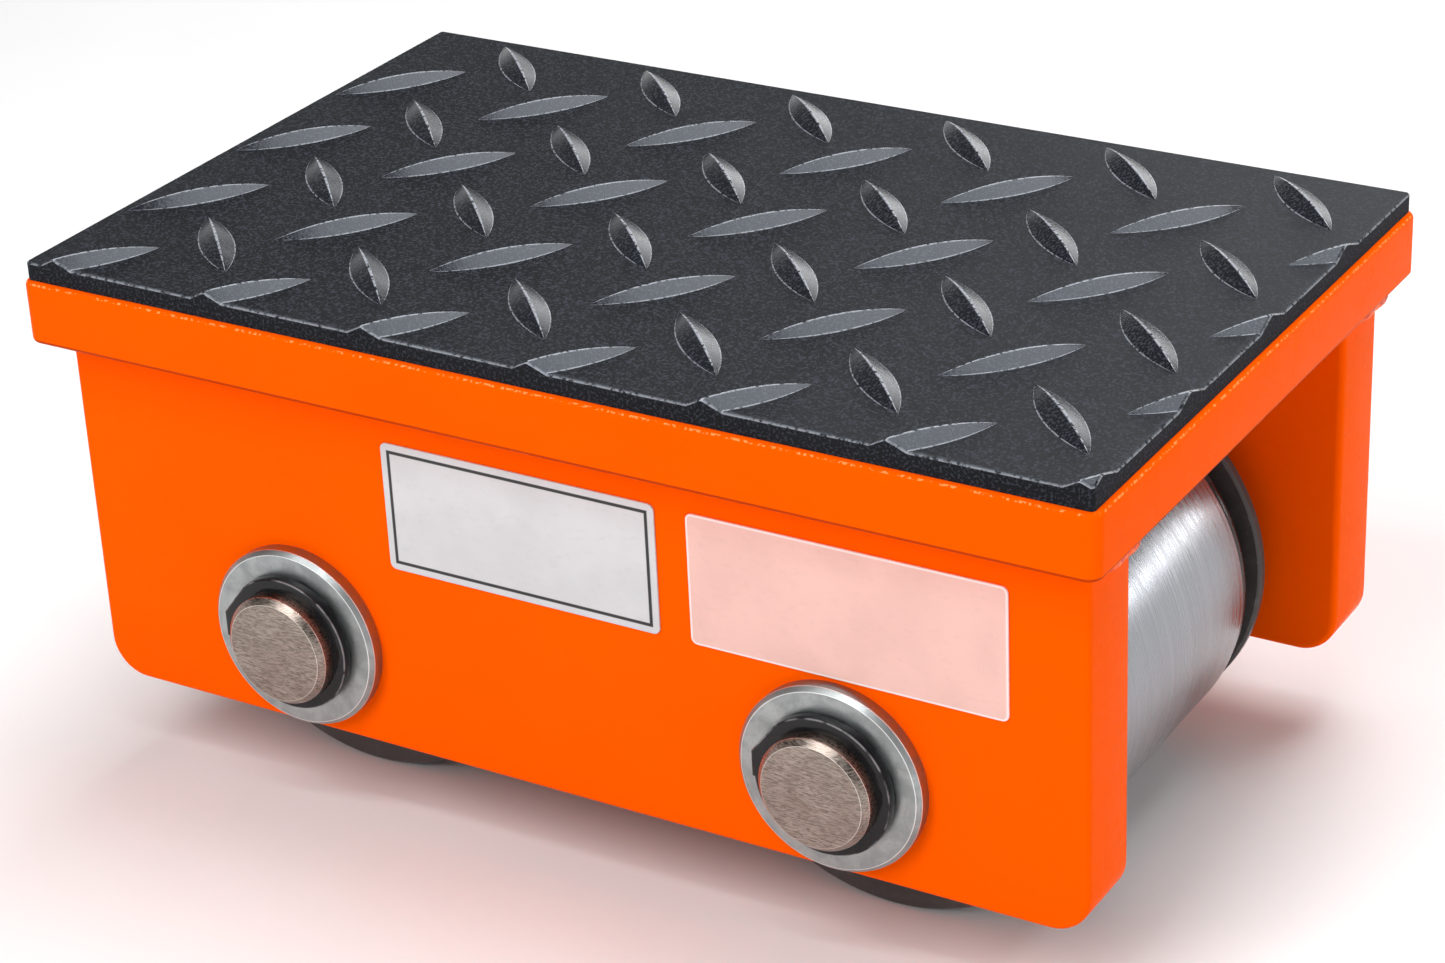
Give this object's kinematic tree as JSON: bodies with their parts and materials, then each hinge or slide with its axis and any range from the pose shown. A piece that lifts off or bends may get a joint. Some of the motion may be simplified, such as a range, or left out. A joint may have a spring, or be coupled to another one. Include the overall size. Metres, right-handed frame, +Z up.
{
  "type": "low-profile cargo trolley",
  "caption": "Low-profile machinery-moving trolley: an orange steel deck on side plates with full-width steel rollers on fixed axles and a black rubber tread pad.",
  "frame": {"origin": "on the ground under the centre of the deck, at the bottom centre of the bounding box", "axes": "+X along the length, which is the direction of travel; +Y to the rear, away from the labelled side plate; +Z up"},
  "size_m": [0.2, 0.1304, 0.0985],
  "materials": {
    "orange_paint": "semi-gloss powder coat",
    "painted_weld": "gloss powder coat over a weld bead",
    "tread_rubber": "matt, fine-grained",
    "label_white": "satin film",
    "label_pink": "satin film",
    "axle_steel": "face-turned, lightly scratched",
    "zinc_washer": "zinc-plated, satin",
    "black_spring_steel": "black oxide, oiled",
    "roller_steel": "ground and brushed round the roller",
    "black_flange": "black, satin",
    "dust_rubber": "smooth",
    "bearing_steel": "ground",
    "brass_cage": "machined",
    "bearing_shield": "pressed sheet",
    "spacer_steel": "turned"
  },
  "bodies": {
    "frame": {"deck_plate": "orange_paint", "front_side_plate": "orange_paint", "rear_side_plate": "orange_paint", "front_end_welds": "painted_weld", "rear_end_welds": "painted_weld", "front_inner_weld": "painted_weld", "rear_inner_weld": "painted_weld", "tread_pad": "tread_rubber", "left_label": "label_white", "right_label": "label_pink", "left_axle": "axle_steel", "right_axle": "axle_steel", "left_front_washer": "zinc_washer", "left_rear_washer": "zinc_washer", "right_front_washer": "zinc_washer", "right_rear_washer": "zinc_washer", "left_front_retaining_ring": "black_spring_steel", "left_rear_retaining_ring": "black_spring_steel", "right_front_retaining_ring": "black_spring_steel", "right_rear_retaining_ring": "black_spring_steel", "left_front_inner_race": "bearing_steel", "left_rear_inner_race": "bearing_steel", "right_front_inner_race": "bearing_steel", "right_rear_inner_race": "bearing_steel", "left_front_end_spacer": "spacer_steel", "left_rear_end_spacer": "spacer_steel", "right_front_end_spacer": "spacer_steel", "right_rear_end_spacer": "spacer_steel", "left_centre_spacer": "spacer_steel", "right_centre_spacer": "spacer_steel"},
    "left_roller": {"left_roller_shell": "roller_steel", "left_front_flange_disc": "black_flange", "left_front_dust_ring": "dust_rubber", "left_front_outer_race": "bearing_steel", "left_front_bearing_shields": "bearing_shield", "left_rear_flange_disc": "black_flange", "left_rear_dust_ring": "dust_rubber", "left_rear_outer_race": "bearing_steel", "left_rear_bearing_shields": "bearing_shield"},
    "right_roller": {"right_roller_shell": "roller_steel", "right_front_flange_disc": "black_flange", "right_front_dust_ring": "dust_rubber", "right_front_outer_race": "bearing_steel", "right_front_bearing_shields": "bearing_shield", "right_rear_flange_disc": "black_flange", "right_rear_dust_ring": "dust_rubber", "right_rear_outer_race": "bearing_steel", "right_rear_bearing_shields": "bearing_shield"},
    "left_front_ball_set": {"left_front_bearing_balls": "bearing_steel", "left_front_ball_cage": "brass_cage"},
    "left_rear_ball_set": {"left_rear_bearing_balls": "bearing_steel", "left_rear_ball_cage": "brass_cage"},
    "right_front_ball_set": {"right_front_bearing_balls": "bearing_steel", "right_front_ball_cage": "brass_cage"},
    "right_rear_ball_set": {"right_rear_bearing_balls": "bearing_steel", "right_rear_ball_cage": "brass_cage"}
  },
  "joints": [
    {"name": "left_roller_spin", "type": "hinge", "parent": "frame", "child": "left_roller", "pos_m": [-0.052, 0, 0.0345], "axis": [0, 1, 0], "continuous": true},
    {"name": "left_front_ball_set_spin", "type": "hinge", "parent": "frame", "child": "left_front_ball_set", "pos_m": [-0.052, 0, 0.0345], "axis": [0, 1, 0], "continuous": true},
    {"name": "left_rear_ball_set_spin", "type": "hinge", "parent": "frame", "child": "left_rear_ball_set", "pos_m": [-0.052, 0, 0.0345], "axis": [0, 1, 0], "continuous": true},
    {"name": "right_roller_spin", "type": "hinge", "parent": "frame", "child": "right_roller", "pos_m": [0.052, 0, 0.0345], "axis": [0, 1, 0], "continuous": true},
    {"name": "right_front_ball_set_spin", "type": "hinge", "parent": "frame", "child": "right_front_ball_set", "pos_m": [0.052, 0, 0.0345], "axis": [0, 1, 0], "continuous": true},
    {"name": "right_rear_ball_set_spin", "type": "hinge", "parent": "frame", "child": "right_rear_ball_set", "pos_m": [0.052, 0, 0.0345], "axis": [0, 1, 0], "continuous": true}
  ],
  "couplings": [
    {"joint": "left_front_ball_set_spin", "follows": "left_roller_spin", "ratio": 0.6177},
    {"joint": "left_rear_ball_set_spin", "follows": "left_roller_spin", "ratio": 0.6177},
    {"joint": "right_front_ball_set_spin", "follows": "right_roller_spin", "ratio": 0.6177},
    {"joint": "right_rear_ball_set_spin", "follows": "right_roller_spin", "ratio": 0.6177}
  ]
}
